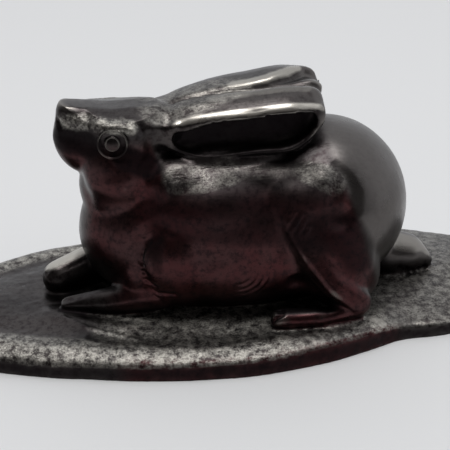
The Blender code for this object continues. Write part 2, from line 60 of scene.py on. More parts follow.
# The base: its upright side, the rounded shoulder beside the rabbit, and the lip and dip in from the edge
BASE_SIDE = 3.0 * MM
BASE_SIDE_RISE = 0.022
BASE_TOP = 4.0 * MM
SHOULDER_WIDTH = 4.6 * MM
DOME_REACH = 9.0 * MM
RIM_LIP = 0.25 * MM
LIP_PLACE, LIP_SPREAD = 3.4 * MM, 1.8 * MM
DIP_PLACE, DIP_SPREAD = 7.5 * MM, 2.6 * MM

# Places along the base, from beside the rabbit to the thin end past the notch by the tail
SHOULDER_EASED = 12 * MM
NOTCH = 18 * MM
SHOULDER_CRISP = 22 * MM
RISE_END = 25 * MM
PAST_NOTCH = 28 * MM

# The rabbit is drawn in units of a millimetre. Its paws meet the base at PAW_LEVEL units, which is FEET
UNIT = 1 * MM
PAW_LEVEL = 4.9
FEET = PAW_LEVEL * MM
RABBIT_OFF_CENTRE = 1.5 * MM
CROWN = 41.3
CROWN_RISE = 0.14
CROWN_SLOPE = 0.26
BROW_ALONG = [-33.0, -28.2, -26.5, -24.8, -20.7]
BROW_ACROSS = [1.8, 2.4, 4.4, 6.0, 6.5]
BROW_SLOPE = 0.62
EYE = (-24.3, 7.0, 37.0)
EYE_FACING = (-0.2, 1.0, 0.2)
EYE_RINGS = [(2.5, 0.2), (1.15, 0.2)]
BELLY_ARCS = (-4.0, 15.0)
BELLY_SPACING = 1.1
BELLY_RIPPLE = 0.12 * MM
RUMP = (14.6, 0, 19.8)
RUMP_RADII = (15.7, 16.0, 16.0)

# How finely the wax is worked, and how many times each skin is softened
WAX_CUBE = 0.34 * MM
EAR_CUBE = 0.28 * MM
BODY_SOFTENING = 28
BASE_SOFTENING = 3
HOLLOWED_EAR_SOFTENING = 7
SHAPED_EAR_SOFTENING = 11
JOINED_SOFTENING = 5
BELOW_CUT = 1.5 * MM
SAME_PLACE = 0.01 * MM
MOST_TRIANGLES = 190000
SWELL = 0.10 * MM
SWELL_SIZE = 7 * MM
GRIT = 0.05 * MM
GRIT_SIZE = 1.0 * MM
NEAR, FAR = -1, 1

# How the marks on the skin are taken
WORN_HEIGHT = 0.5 * MM
SURROUNDINGS = 14
RAYS = 22
RAY_START = 0.1 * MM
RAY_REACH = 12 * MM
GRAZING = 0.15

# Colours of the bronze
DARK_BROWN = (0.038, 0.034, 0.034)
BROWN = (0.062, 0.054, 0.052)
# Painted light and reflection, on the rump and on upward-facing top skin
LIT_PALE_BROWN = (0.105, 0.096, 0.092)
# Painted reflection, reddish on upright skin
REFLECTED_RED_BROWN = (0.062, 0.023, 0.024)
FLECK = (0.016, 0.011, 0.012)
# Painted shade, for skin shut in by other bronze
SHADE_BLACK = (0.008, 0.006, 0.007)
GROOVE = (0.012, 0.009, 0.010)
# Bare metal of worn edges and speckles; on the rims, eyes, crests and base rim it is painted highlight in
# part
BRIGHT_METAL = (0.52, 0.49, 0.44)
DULL_METAL = (0.42, 0.40, 0.36)
BUMP_HEIGHT = 0.14 * MM

# Stage
FLOOR_SIZE = 4
FLOOR_COLOUR = (0.80, 0.80, 0.80)
ROOM_DARK = (0.09, 0.085, 0.085)
ROOM_LIGHT = (0.84, 0.86, 0.89)
OVERHEAD_PLACE = (0.0, -0.05, 0.8)
OVERHEAD_SIZE = (0.36, 0.26)
OVERHEAD_POWER = 2.8

# Camera, at the photograph's angle
CAMERA_AZIMUTH = -10.0
CAMERA_ELEVATION = 27.0
CAMERA_LENS = 110.0
CAMERA_DISTANCE = 257 * MM
CAMERA_TARGET = (-3.0 * MM, 4.5 * MM, 14.6 * MM)


# Small helpers


def select_only(*pieces):
    bpy.ops.object.select_all(action="DESELECT")
    for piece in pieces:
        piece.select_set(True)
    bpy.context.view_layer.objects.active = pieces[-1]


def apply_modifiers(piece):
    select_only(piece)
    for modifier in list(piece.modifiers):
        bpy.ops.object.modifier_apply(modifier=modifier.name)


def joined(pieces, name):
    select_only(*pieces)
    bpy.ops.object.join()
    piece = bpy.context.object
    bpy.ops.object.transform_apply(location=True, rotation=True, scale=True)
    piece.name = name
    return piece


def fuse(piece, cube, smoothing):
    """Turns overlapping lumps into one skin, then softens it."""
    skin = piece.modifiers.new("Skin", "REMESH")
    skin.mode = "VOXEL"
    skin.voxel_size = cube
    soften = piece.modifiers.new("Soften", "SMOOTH")
    soften.factor = 0.5
    soften.iterations = smoothing
    apply_modifiers(piece)


def eased(value, low, high):
    """0 below low, 1 above high and a soft step between them."""
    share = np.clip((value - low) / (high - low), 0, 1)
    return share * share * (3 - 2 * share)


def points_of(obj):
    points = np.empty(len(obj.data.vertices) * 3, np.float32)
    obj.data.vertices.foreach_get("co", points)
    return points.reshape(-1, 3)


def normals_of(obj):
    normals = np.empty(len(obj.data.vertices) * 3, np.float32)
    obj.data.vertex_normals.foreach_get("vector", normals)
    return normals.reshape(-1, 3)


def set_points(obj, points):
    obj.data.vertices.foreach_set("co", np.ascontiguousarray(points, np.float32).ravel())
    obj.data.update()


def distance_to(points, path):
    """Each point's distance to the line through path, and its nearest place on it, from 0 to 1."""
    nearest = np.full(len(points), np.inf)
    place = np.zeros(len(points))
    for i, (start, end) in enumerate(zip(path[:-1], path[1:])):
        along = end - start
        share = np.clip((points - start) @ along / max(along @ along, 1e-12), 0, 1)
        distance = np.linalg.norm(points - start - share[:, None] * along, axis=1)
        closer = distance < nearest
        nearest[closer] = distance[closer]
        place[closer] = (i + share[closer]) / (len(path) - 1)
    return nearest, place


# Wax lumps, placed in rabbit units: X from nose to tail, Y across, Z up from the underside


def on_rabbit(point):
    """A place on the rabbit, in metres."""
    x, y, z = point
    return Vector((x * UNIT, y * UNIT + RABBIT_OFF_CENTRE, FEET + (z - PAW_LEVEL) * UNIT))


def lump(centre, radii, turn=(0, 0, 0)):
    """An egg of wax, turned by degrees about X, Y and Z."""
    bpy.ops.object.select_all(action="DESELECT")
    bpy.ops.mesh.primitive_uv_sphere_add(
        segments=40, ring_count=24, radius=1, location=on_rabbit(centre),
        rotation=[math.radians(angle) for angle in turn],
    )
    egg = bpy.context.object
    egg.scale = [radius * UNIT for radius in radii]
    return [egg]


def pair(centre, radii, turn=(0, 0, 0)):
    """Two eggs, one mirrored from the other across the rabbit's middle."""
    x, y, z = centre
    roll, pitch, yaw = turn
    return lump((x, y, z), radii, turn) + lump((x, -y, z), radii, (-roll, pitch, -yaw))


def wax_roll(path, radii, flat=1.0):
    """A tapering roll through the points of path, with a radius at each."""
    eggs = []
    steps = 8
    for i in range(len(path) - 1):
        for k in range(steps + (i == len(path) - 2)):
            share = k / steps
            centre = Vector(path[i]).lerp(Vector(path[i + 1]), share)
            radius = radii[i] + (radii[i + 1] - radii[i]) * share
            eggs += lump(centre, (radius, radius, radius * flat))
    return eggs


def torso():
    eggs = (
        lump(RUMP, RUMP_RADII)
        + lump((0.0, 0, 17.8), (22.0, 15.8, 15.6))
        + lump((-18.5, 0, 18.0), (11.8, 11.0, 13.0), (0, 12, 0))
        + lump((-20.0, 0, 26.5), (10.0, 8.2, 9.5), (0, -10, 0))
        + lump((-4.0, 0, 31.0), (15.0, 8.0, 4.8), (0, -4, 0))
        + pair((-2.5, 7.4, 19.4), (17.0, 8.0, 8.0), (0, 2, 0))
        + pair((-5.0, 8.0, 23.0), (13.0, 6.7, 7.4))
        + pair((8.4, 9.4, 24.4), (8.6, 6.6, 6.6))
        + pair((-1.6, 8.2, 13.8), (16.0, 7.8, 8.8))
        + pair((6.0, 10.6, 15.0), (8.2, 5.9, 8.2))
        + pair((-13.0, 4.4, 28.2), (7.6, 5.2, 4.8))
        + lump((-1.0, 0, 7.0), (24.0, 12.0, 4.0))
    )
    crest = [(-14.0, 6.2, 27.4), (-4.0, 7.2, 28.0), (5.0, 8.2, 28.2), (11.6, 9.8, 27.6)]
    for side in (NEAR, FAR):
        eggs += wax_roll([(x, side * out, z) for x, out, z in crest], [4.2, 3.5, 3.2, 4.2])
    return eggs


def head():
    return (
        lump((-22.0, 0, 36.6), (9.0, 7.0, 7.2))
        + pair((-23.2, 4.3, 37.6), (5.0, 2.9, 3.4))
        + pair((-22.8, 3.2, 31.6), (6.8, 5.2, 6.4), (0, -22, 0))
        + pair((-22.6, 3.6, 29.2), (6.5, 5.4, 5.4))
        + pair((-22.4, 3.0, 26.4), (6.2, 5.4, 6.2))
        + wax_roll([(-24, 0, 37.6), (-29.6, 0, 38.2)], [6.2, 4.1])
        + lump((-30.0, 0, 40.6), (3.4, 3.1, 3.4))
        + pair((-28.6, 2.2, 38.6), (3.6, 2.3, 2.8))
        + lump((-29.4, 0, 34.8), (4.4, 4.2, 6.0), (0, -24, 0))
        + lump((-16.5, 0, 37.2), (6.5, 6.0, 4.1))
    )


def haunches():
    eggs = (
        pair((12.6, 11.4, 15.6), (13.0, 6.7, 8.2), (0, 50, 0))
        + pair((16.0, 10.8, 12.0), (6.0, 6.6, 8.0), (0, 20, 0))
        + pair((11.6, 11.6, 18.4), (7.0, 5.6, 7.0), (0, 30, 0))
    )
    shin = [(5.4, 14.0, 23.6), (8.6, 15.8, 17.5), (12.8, 17.0, 11.5), (17.4, 17.0, 7.6)]
    foot = [(3.2, 18.0, 6.0), (10.0, 18.6, 6.0), (17.0, 17.4, 6.4)]
    for side in (NEAR, FAR):
        eggs += wax_roll([(x, side * y, z) for x, y, z in shin], [2.4, 2.7, 2.9, 2.8])
        eggs += wax_roll([(x, side * y, z) for x, y, z in foot], [2.1, 2.0, 2.2], 0.85)
    return eggs


def forelegs():
    return (
        pair((-12.5, 8.8, 14.6), (8.6, 6.0, 9.2), (0, -24, 0))
        + pair((-18.6, 6.8, 11.8), (5.6, 4.8, 6.6))
        + wax_roll([(-17, -9.0, 8.6), (-25, -7.6, 6.7), (-33.2, -5.8, 5.6)], [3.7, 2.8, 1.7], 0.9)
        + wax_roll([(-19, 8.0, 9.5), (-27, 5.0, 8.0), (-34.4, 2.2, 7.0)], [4.0, 3.8, 3.2])
    )


def tail():
    return wax_roll([(27, 0, 7.8), (31.2, -0.4, 7.4), (35.2, -1.1, 5.9)], [4.6, 3.9, 1.5])


def make_body():
    eggs = torso() + head() + haunches() + forelegs() + tail()
    body = joined(eggs, "body_wax")
    fuse(body, WAX_CUBE, BODY_SOFTENING)
    return body


# Ears: an upright plate for each, hollowed from outside

EAR_OUTLINE = [
    (-17.5, 38.2), (-13.0, 41.0), (-8.0, 42.2), (0.0, 42.9), (9.0, 43.3),
    (12.8, 42.4), (13.4, 40.4), (10.2, 34.6), (0.0, 33.2), (-13.4, 34.0),
]
HOLLOW_OUTLINE = [
    (-13.6, 36.8), (-8.4, 40.5), (0.0, 41.7), (8.8, 42.0), (11.3, 41.0),
    (9.9, 36.2), (0.0, 34.2), (-12.8, 34.8),
]
HOLLOW_FLOOR = [(-12.8, 34.8), (0.0, 34.2), (9.9, 36.2), (11.3, 41.0)]
HOLLOW_ROOF = HOLLOW_OUTLINE[:5]
EAR_WIDTH = 8.2
EAR_EDGE = 1.0
EAR_ROOT_SHARE = 0.72
EAR_TIP_SHARE = 0.86
FAR_TIP_LIFT = 1.2
FAR_TIP_REACH = 0.9
HOLLOW_DEPTH = 3.4
HOLLOW_EDGE = 0.9

# The line of the far ear's lip seen from above, and the thin ridge beside the channel that it overhangs
LIP_ALONG = [-3.0, 1.0, 5.0, 8.0, 9.8, 11.7]
LIP_ACROSS = [0.3, 0.4, 0.9, 2.2, 3.6, 5.2]
RIDGE_ACROSS = -2.9
CHANNEL_DEPTH = 2.0
RIM_SLOPE = 0.62
RIM_WIDTH = 3.1


def ear_share(along):
    """0 at the ear's root and 1 at its tip."""
    return (along - EAR_OUTLINE[0][0]) / (EAR_OUTLINE[6][0] - EAR_OUTLINE[0][0])


def drawn_out(outline, reach, lift):
    """The outline with its tip drawn back by reach and up by lift."""
    return [(x + reach * ear_share(x), z + lift * ear_share(x)) for x, z in outline]


def side_plate(name, outline, middle, width, edge):
    """An upright plate with this outline seen from the side, and a round edge; middle is its Y."""
    curve = bpy.data.curves.new(name, "CURVE")
    curve.dimensions = "2D"
    curve.fill_mode = "BOTH"
    curve.extrude = (width / 2 - edge) * UNIT
    curve.bevel_depth = edge * UNIT
    curve.bevel_resolution = 4
    curve.offset = -edge * UNIT
    spline = curve.splines.new("BEZIER")
    spline.bezier_points.add(len(outline) - 1)
    spline.use_cyclic_u = True
    for point, (x, z) in zip(spline.bezier_points, outline):
        point.co = (x * UNIT, on_rabbit((x, 0, z)).z, 0)
        point.handle_left_type = point.handle_right_type = "AUTO"
    plate = bpy.data.objects.new(name, curve)
    bpy.context.scene.collection.objects.link(plate)
    select_only(plate)
    bpy.ops.object.convert(target="MESH")
    plate = bpy.context.object
    plate.location = (0, on_rabbit((0, middle, 0)).y, 0)
    plate.rotation_euler = (math.pi / 2, 0, 0)
    bpy.ops.object.transform_apply(location=True, rotation=True, scale=True)
    bpy.ops.object.mode_set(mode="EDIT")
    bpy.ops.mesh.select_all(action="SELECT")
    bpy.ops.mesh.remove_doubles(threshold=SAME_PLACE)
    bpy.ops.mesh.normals_make_consistent(inside=False)
    bpy.ops.object.mode_set(mode="OBJECT")
    return plate


def ear_width(along):
    """Seen from above, the ears are narrow at the root, widest past the middle and rounded at the tip."""
    root = 1 - (1 - EAR_ROOT_SHARE) * (1 - eased(along, EAR_OUTLINE[0][0], 0))
    tip = 1 - (1 - EAR_TIP_SHARE) * eased(along, 6.5, EAR_OUTLINE[6][0])
    return EAR_WIDTH * root * tip


def taper_ear(ear):
    """Narrows the plate to the ear's width, and slopes its upper edge outwards."""
    points = points_of(ear)
    along = points[:, 0] / UNIT
    across = (points[:, 1] - RABBIT_OFF_CENTRE) / UNIT * ear_width(along) / EAR_WIDTH
    outside = np.clip(abs(across) - (ear_width(along) - RIM_WIDTH), 0, None) * np.where(across > 0, 0.3, 1)
    upper = eased(points[:, 2], on_rabbit((0, 0, 37)).z, on_rabbit((0, 0, 40)).z)
    points[:, 1] = across * UNIT + RABBIT_OFF_CENTRE
    points[:, 2] -= RIM_SLOPE * outside * upper * UNIT
    set_points(ear, points)


def open_channel(ear):
    """Between the ears a channel opens towards the tips, under the far ear's lip and beside a thin ridge."""
    points = points_of(ear)
    along = points[:, 0] / UNIT
    across = (points[:, 1] - RABBIT_OFF_CENTRE) / UNIT
    top = EAR_OUTLINE[:6]
    height = np.interp(along, *zip(*top)) + np.where(across > 0, FAR_TIP_LIFT * ear_share(along), 0)
    upper = eased((points[:, 2] - on_rabbit((0, 0, 0)).z) / UNIT, height - 3.2, height - 1.6)
    facing_up = eased(normals_of(ear)[:, 2], 0.1, 0.5) * upper
    opened = eased(along, -8, 11)
    lip = np.interp(along, LIP_ALONG, LIP_ACROSS)
    foot = RIDGE_ACROSS + 0.6
    slope = np.clip((across - foot) / (lip - foot), 0, 1)
    push = -CHANNEL_DEPTH * opened * slope * (1 - eased(across, lip - 0.7, lip + 0.3))
    push += 0.25 * opened * eased(across, lip, lip + 1.6)
    push += 0.45 * np.exp(-(((across - RIDGE_ACROSS) / 1.2) ** 2)) * eased(along, -9, -2)
    push -= 0.25 * np.exp(-(((across + 5.0) / 1.4) ** 2)) * eased(along, -12, -6)
    points[:, 2] += push * facing_up * UNIT
    set_points(ear, points)


def make_ear(side):
    reach, lift = (FAR_TIP_REACH, FAR_TIP_LIFT) if side == FAR else (0, 0)
    outline = drawn_out(EAR_OUTLINE, reach, lift)
    hollow_outline = drawn_out(HOLLOW_OUTLINE, reach, lift)
    ear = side_plate("ear_wax", outline, side * EAR_WIDTH / 2, EAR_WIDTH, EAR_EDGE)
    cutter = side_plate("ear_hollow", hollow_outline, side * EAR_WIDTH, 2 * HOLLOW_DEPTH, HOLLOW_EDGE)
    hollow = ear.modifiers.new("Hollow", "BOOLEAN")
    hollow.operation = "DIFFERENCE"
    hollow.object = cutter
    apply_modifiers(ear)
    bpy.data.objects.remove(cutter)
    fuse(ear, EAR_CUBE, HOLLOWED_EAR_SOFTENING)
    taper_ear(ear)
    open_channel(ear)
    fuse(ear, EAR_CUBE, SHAPED_EAR_SOFTENING)
    return ear


# Base

# The base's edge seen from above, as shares of half its length and half its width.
# It narrows past a notch by the tail.
BASE_EDGE = [
    (-1.0, 0.0), (-0.88, -0.42), (-0.7, -0.65), (-0.445, -0.86), (-0.11, -1.0), (0.08, -0.96), (0.27, -0.83),
    (0.335, -0.76), (0.38, -0.72), (0.52, -0.70), (0.7, -0.58), (0.88, -0.34), (1.0, -0.02), (0.87, 0.36),
    (0.7, 0.62), (0.52, 0.84), (0.25, 0.97), (-0.05, 1.0), (-0.46, 0.94), (-0.68, 0.76), (-0.88, 0.44),
]


def base_curve():
    """The base's edge as a closed, filled curve."""
    curve = bpy.data.curves.new("base_edge", "CURVE")
    curve.dimensions = "2D"
    curve.fill_mode = "BOTH"
    spline = curve.splines.new("BEZIER")
    spline.bezier_points.add(len(BASE_EDGE) - 1)
    spline.use_cyclic_u = True
    for point, (along, across) in zip(spline.bezier_points, BASE_EDGE):
        point.co = (along * BASE_LENGTH / 2, across * BASE_WIDTH / 2, 0)
        point.handle_left_type = point.handle_right_type = "AUTO"
    flat = bpy.data.objects.new("base_edge", curve)
    bpy.context.scene.collection.objects.link(flat)
    return flat


def edge_line():
    """The base's edge as a closed list of points."""
    flat = base_curve()
    bpy.context.view_layer.update()
    mesh = flat.to_mesh()
    clay = bmesh.new()
    clay.from_mesh(mesh)
    flat.to_mesh_clear()
    bpy.data.objects.remove(flat)
    bmesh.ops.remove_doubles(clay, verts=clay.verts, dist=SAME_PLACE)
    rim = {edge for edge in clay.edges if len(edge.link_faces) == 1}
    corner = next(iter(rim)).verts[0]
    line = [np.array(corner.co)]
    while rim:
        edge = next((edge for edge in corner.link_edges if edge in rim), None)
        if edge is None:
            break
        rim.remove(edge)
        corner = edge.other_vert(corner)
        line.append(np.array(corner.co))
    clay.free()
    return line


def base_height(along, inward):
    """Height of the base's top by place along the base and distance in from its edge.

    A broad rounded shoulder runs beside the rabbit. Past the notch it is crisp and the base gets thin.
    """
    behind = eased(along, NOTCH, PAST_NOTCH)
    side = (BASE_SIDE + BASE_SIDE_RISE * np.minimum(along, RISE_END)) * (1 - 0.4 * behind)
    shoulder = BASE_TOP + (side + 2 * RIM_LIP - BASE_TOP) * behind
    narrowed = 0.3 * eased(along, 0, SHOULDER_EASED) + 0.4 * eased(along, NOTCH, SHOULDER_CRISP)
    width = SHOULDER_WIDTH * (1 - narrowed)
    bulge = np.sqrt(1 - (1 - np.clip(inward / width, 0, 1)) ** 2)
    dome = (FEET - shoulder) * (1 - np.exp(-inward / DOME_REACH))
    lip = np.exp(-(((inward - LIP_PLACE) / LIP_SPREAD) ** 2))
    lip -= np.exp(-(((inward - DIP_PLACE) / DIP_SPREAD) ** 2))
    return side + (shoulder - side) * bulge + dome + RIM_LIP * lip * (1 - behind)


def make_base():
    """A leaf-shaped plate, its top raised to the base's height; it starts below the cut."""
    thick = BELOW_CUT + BASE_TOP
    flat = base_curve()
    flat.data.extrude = thick / 2
    select_only(flat)
    bpy.ops.object.convert(target="MESH")
    base = bpy.context.object
    base.location = (0, 0, thick / 2 - BELOW_CUT)
    bpy.ops.object.transform_apply(location=True, rotation=True, scale=True)
    bpy.ops.object.mode_set(mode="EDIT")
    bpy.ops.mesh.select_all(action="SELECT")
    bpy.ops.mesh.remove_doubles(threshold=SAME_PLACE)
    bpy.ops.object.mode_set(mode="OBJECT")
    fuse(base, WAX_CUBE, BASE_SOFTENING)
    points = points_of(base)
    upper = np.clip(points[:, 2] / BASE_TOP, 0, 1)
    inward = distance_to(points * [1, 1, 0], edge_line())[0]
    points[:, 2] += upper * (base_height(points[:, 0], inward) - BASE_TOP)
    set_points(base, points)
    return base


# Carving: points of the skin move in or out along strokes drawn on it


def stroke(obj, path, width, push, way=None):
    """Raises the skin by push along a line, or sinks it where push is negative, fading to nothing at width.

    width and push are one value, or a pair for the line's start and end. The skin moves along its normal,
    or along way.
    """
    line = [np.array(on_rabbit(point)) for point in path]
    if len(line) == 1:
        line = line * 2
    widths = np.broadcast_to(width, 2) * UNIT
    pushes = np.broadcast_to(push, 2) * UNIT
    points = points_of(obj)
    reach = widths.max()
    low, high = np.min(line, axis=0) - reach, np.max(line, axis=0) + reach
    near = np.flatnonzero(((points > low) & (points < high)).all(axis=1))
    distance, place = distance_to(points[near], line)
    fade = np.clip(1 - (distance / (widths[0] + (widths[1] - widths[0]) * place)) ** 2, 0, 1) ** 2
    amount = fade * (pushes[0] + (pushes[1] - pushes[0]) * place)
    direction = normals_of(obj)[near] if way is None else np.array([way])
    points[near] += direction * amount[:, None]
    set_points(obj, points)


def both_sides(obj, path, width, push):
    for side in (NEAR, FAR):
        stroke(obj, [(x, side * out, z) for x, out, z in path], width, push)


def flatten_crown(obj):
    """Presses the top of the head to a low roof, steeper beyond the brows and rising towards the nose."""
    points = points_of(obj)
    along = points[:, 0] / UNIT
    across = abs(points[:, 1] - RABBIT_OFF_CENTRE) / UNIT
    beyond = np.clip(across - np.interp(along, BROW_ALONG, BROW_ACROSS), 0, None)
    ridge = CROWN + CROWN_RISE * np.clip(-24 - along, 0, None)
    fall = CROWN_SLOPE * np.clip(across - 2, 0, None) + BROW_SLOPE * beyond
    roof = on_rabbit((0, 0, 0)).z + (ridge - fall) * UNIT
    over = (points[:, 2] > roof) & (along < -13)
    pressed = 0.95 * (1 - eased(along[over], -16.5, -13))
    points[over, 2] -= (points[over, 2] - roof[over]) * pressed
    set_points(obj, points)


def carve_head(casting):
    """Brow, snout, cheek, the hollow behind the eye, jaw, nostril, eye socket and the ear's root."""
    flatten_crown(casting)
    both_sides(casting, [(-26.4, 5.2, 39.8), (-24.8, 6.2, 39.7), (-20.8, 6.6, 39.4)], 1.3, 0.35)
    both_sides(casting, [(-31.2, 3.6, 37.8), (-28.0, 4.8, 36.8)], 2.8, -0.6)
    both_sides(casting, [(-22.5, 7.6, 29.6)], 6.0, 0.35)
    both_sides(casting, [(-23.0, 7.6, 34.2), (-19.4, 7.4, 32.8)], 2.2, -0.5)
    both_sides(casting, [(-20.6, 7.0, 38.6), (-18.6, 7.4, 34.8)], 1.8, 0.5)
    jaw = [(-17.0, 7.4, 36.5), (-17.6, 6.8, 33.3), (-19.1, 7.4, 31.0), (-20.6, 7.9, 29.2)]
    both_sides(casting, jaw, 2.6, -0.35)
    both_sides(casting, [(-33.2, 1.4, 39.6), (-32.8, 2.3, 38.9)], 0.9, -0.5)
    both_sides(casting, [EYE], 3.8, -0.35)
    both_sides(casting, [(-17.6, 5.6, 38.9), (-13.4, 6.3, 39.3)], 1.5, 0.45)


def carve_flanks(casting):
    """The folds behind the flank, above the thigh and round the arm, and the line of the shin."""
    rear = [
        (14.4, 10.6, 31.4), (16.1, 12.4, 29.6), (16.9, 13.8, 27.4), (16.4, 15.0, 25.2), (14.4, 15.8, 23.8)
    ]
    both_sides(casting, rear, (1.4, 2.8), (-0.1, -0.6))
    both_sides(casting, [(14.4, 15.8, 23.8), (10.0, 16.0, 22.8)], (2.8, 3.4), (-0.5, -0.3))
    shin = [(4.0, 16.8, 22.6), (5.6, 17.6, 20.7), (8.2, 18.7, 16.5), (12.8, 19.9, 10.7), (16.3, 20.0, 7.8)]
    both_sides(casting, shin, 1.3, 0.35)
    both_sides(casting, [(6.6, 16.2, 11.6), (9.0, 17.0, 9.8), (12.0, 17.8, 8.4)], 2.6, -0.8)
    arm = [
        (-20.9, 10.8, 18.4), (-19.6, 10.8, 21.0), (-16.4, 11.2, 22.6), (-12.8, 12.6, 22.0), (-8.4, 13.9, 19.4)
    ]
    both_sides(casting, arm, 2.6, -0.28)
    both_sides(casting, [(-17.6, 11.2, 19.6), (-17.2, 11.6, 15.6)], 2.4, -0.6)


def carve_base(casting):
    """A low mound beside the near paw, and a small step below it."""
    mound = [(-36.0, -7.0, 4.9), (-31.0, -10.6, 4.9), (-25.0, -14.0, 4.8)]
    stroke(casting, mound, 3.4, 0.4, (0, 0, 1))
    step = [(-34.7, -9.0, 4.7), (-30.9, -12.7, 4.5), (-26.8, -15.1, 4.2), (-22.0, -18.1, 4.1)]
    stroke(casting, step, 0.8, 0.2, (0, 0, 1))


def ripple_belly(casting):
    """Arcs of fur low on the belly, one inside the other, in front of the thigh."""
    points = points_of(casting)
    middle_along, middle_height = BELLY_ARCS
    along = points[:, 0] / UNIT - middle_along
    height = (points[:, 2] - on_rabbit((0, 0, middle_height)).z) / UNIT
    across = abs(points[:, 1] - RABBIT_OFF_CENTRE) / UNIT
    radius, turn = np.hypot(along, height), np.arctan2(height, along)
    arcs = eased(radius, 1.6, 2.6) * (1 - eased(radius, 5.4, 6.6))
    arcs *= eased(turn, -1.8, -1.3) * (1 - eased(turn, 0.2, 0.6))
    outer_skin = eased(across, 12, 13) * (1 - eased(across, 16.6, 17.2))
    push = BELLY_RIPPLE * np.cos(2 * math.pi * radius / BELLY_SPACING) * arcs * outer_skin
    set_points(casting, points + normals_of(casting) * push[:, None])


def carve_fur(casting):
    """Short strokes of fur: at the elbow, at the knee, low on the belly, on the paws and on the tail."""
    for i in range(3):
        x = -21.0 + 0.9 * i
        both_sides(casting, [(x + 0.5, 10.6, 20.0), (x - 0.3, 10.8, 18.0), (x, 11.0, 16.0)], 0.7, -0.35)
    for i in range(6):
        share = i / 5
        x, out, z = -20.2 + 2.4 * share**2, 11.2 + 1.8 * share, 15.6 - 7.4 * share
        comma = [(x, out, z), (x + 1.6, out + 0.6, z - 1.0), (x + 4.4, out + 1.4, z - 1.0)]
        both_sides(casting, comma, 0.7, -0.4)
    ripple_belly(casting)
    for i in range(4):
        path = [(4.0 + 1.1 * i, 16.6, 22.8 - 0.5 * i), (6.0 + 1.1 * i, 15.8 + 0.2 * i, 25.8 - 0.6 * i)]
        both_sides(casting, path, 0.6, 0.3)
    for k in (-2.4, -1.2, 0.0, 1.2):
        sunk = 0.3 * abs(k)
        stroke(casting, [(-27.6, 4.8 + k, 11.4 - sunk), (-36.4, 2.4 + 1.1 * k, 9.0 - sunk)], 0.7, -0.2)
        stroke(casting, [(-28.6, -7.4 + 0.5 * k, 8.8), (-35.0, -6.2 + 0.4 * k, 6.4)], 0.6, -0.25)
    for k in (-1, 0, 1):
        both_sides(casting, [(1.4, 18.2 + 0.9 * k, 6.0), (3.6, 18.4 + 0.9 * k, 7.8)], 0.7, -0.45)
    for i in range(5):
        x, y = 29.0 + 1.2 * i, -4.0 + 0.4 * i
        stroke(casting, [(x, y, 6.6), (x + 0.8, y - 0.2, 4.6)], 0.8, -0.5)


# Eyes and finishing


def unite(piece, other):
    join = piece.modifiers.new("Join", "BOOLEAN")
    join.operation = "UNION"
    join.object = other
    apply_modifiers(piece)
    bpy.data.objects.remove(other)


def set_eye(casting, side):
    """A thin raised ring round a smaller one with a low pupil in it, set half into the head."""
    facing = Vector((EYE_FACING[0], side * EYE_FACING[1], EYE_FACING[2]))
    x, out, z = EYE
    turn = facing.to_track_quat("Z", "Y").to_euler()
    place = on_rabbit((x, side * out, z))
    rings = []
    for radius, thickness in EYE_RINGS:
        bpy.ops.object.select_all(action="DESELECT")
        bpy.ops.mesh.primitive_torus_add(
            location=place, rotation=turn, major_segments=72, minor_segments=14,
            major_radius=radius * UNIT, minor_radius=thickness * UNIT,
        )
        rings.append(bpy.context.object)
    bpy.ops.object.select_all(action="DESELECT")
    bpy.ops.mesh.primitive_uv_sphere_add(
        segments=48, ring_count=24, radius=EYE_RINGS[1][0] * UNIT, location=place, rotation=turn
    )
    pupil = bpy.context.object
    pupil.scale = (1, 1, 0.3)
    unite(rings[1], pupil)
    unite(casting, joined(rings, "eye_wax"))


def thin(casting, triangles):
    """Thins the skin to about this many triangles; before it, every face has four corners."""
    fewer = casting.modifiers.new("Fewer", "DECIMATE")
    fewer.ratio = min(1.0, triangles / (2 * len(casting.data.polygons)))
    apply_modifiers(casting)


def cut_underside(casting):
    """Cuts the casting off flat at the height it stands on."""
    select_only(casting)
    bpy.ops.object.mode_set(mode="EDIT")
    bpy.ops.mesh.select_all(action="SELECT")
    bpy.ops.mesh.bisect(
        plane_co=(0, 0, 0), plane_no=(0, 0, -1), use_fill=True, clear_outer=True, threshold=0.001 * MM
    )
    bpy.ops.object.mode_set(mode="OBJECT")


def cast_skin(casting):
    """The skin isn't ruled: slow swells all over, and a fine grain on the base."""
    points = points_of(casting)
    normals = normals_of(casting)
    swell = np.array([noise.noise(Vector(point) / SWELL_SIZE) for point in points])
    grit = np.array([noise.noise(Vector(point) / GRIT_SIZE) for point in points])
    on_base = 1 - eased(points[:, 2], FEET - 0.3 * MM, FEET + 1.2 * MM)
    push = SWELL * swell * (1 + on_base) + GRIT * grit * (0.25 + on_base)
    set_points(casting, points + normals * push[:, None])


def keep_in_box(casting):
    """Holds the skin to the part's own box."""
    set_points(casting, np.clip(points_of(casting), LOW, HIGH))


def model_rabbit():
    """The whole casting, from wax lumps to a smooth, marked skin."""
    casting = joined([make_body(), make_ear(NEAR), make_ear(FAR), make_base()], "bronze_rabbit")
    fuse(casting, WAX_CUBE, JOINED_SOFTENING)
    for work in (carve_head, carve_flanks, carve_base, carve_fur, cast_skin):
        work(casting)
    thin(casting, MOST_TRIANGLES)
    cut_underside(casting)
    for side in (NEAR, FAR):
        set_eye(casting, side)
    keep_in_box(casting)
    mark_skin(casting)
    select_only(casting)
    bpy.ops.object.shade_smooth()
    return casting


# Marks kept on the skin for the bronze


def mark(casting, name, values):
    """Keeps a value for each point, for the material to read."""
    kept = casting.data.attributes.new(name, "FLOAT", "POINT")
    kept.data.foreach_set("value", np.ascontiguousarray(values, np.float32))


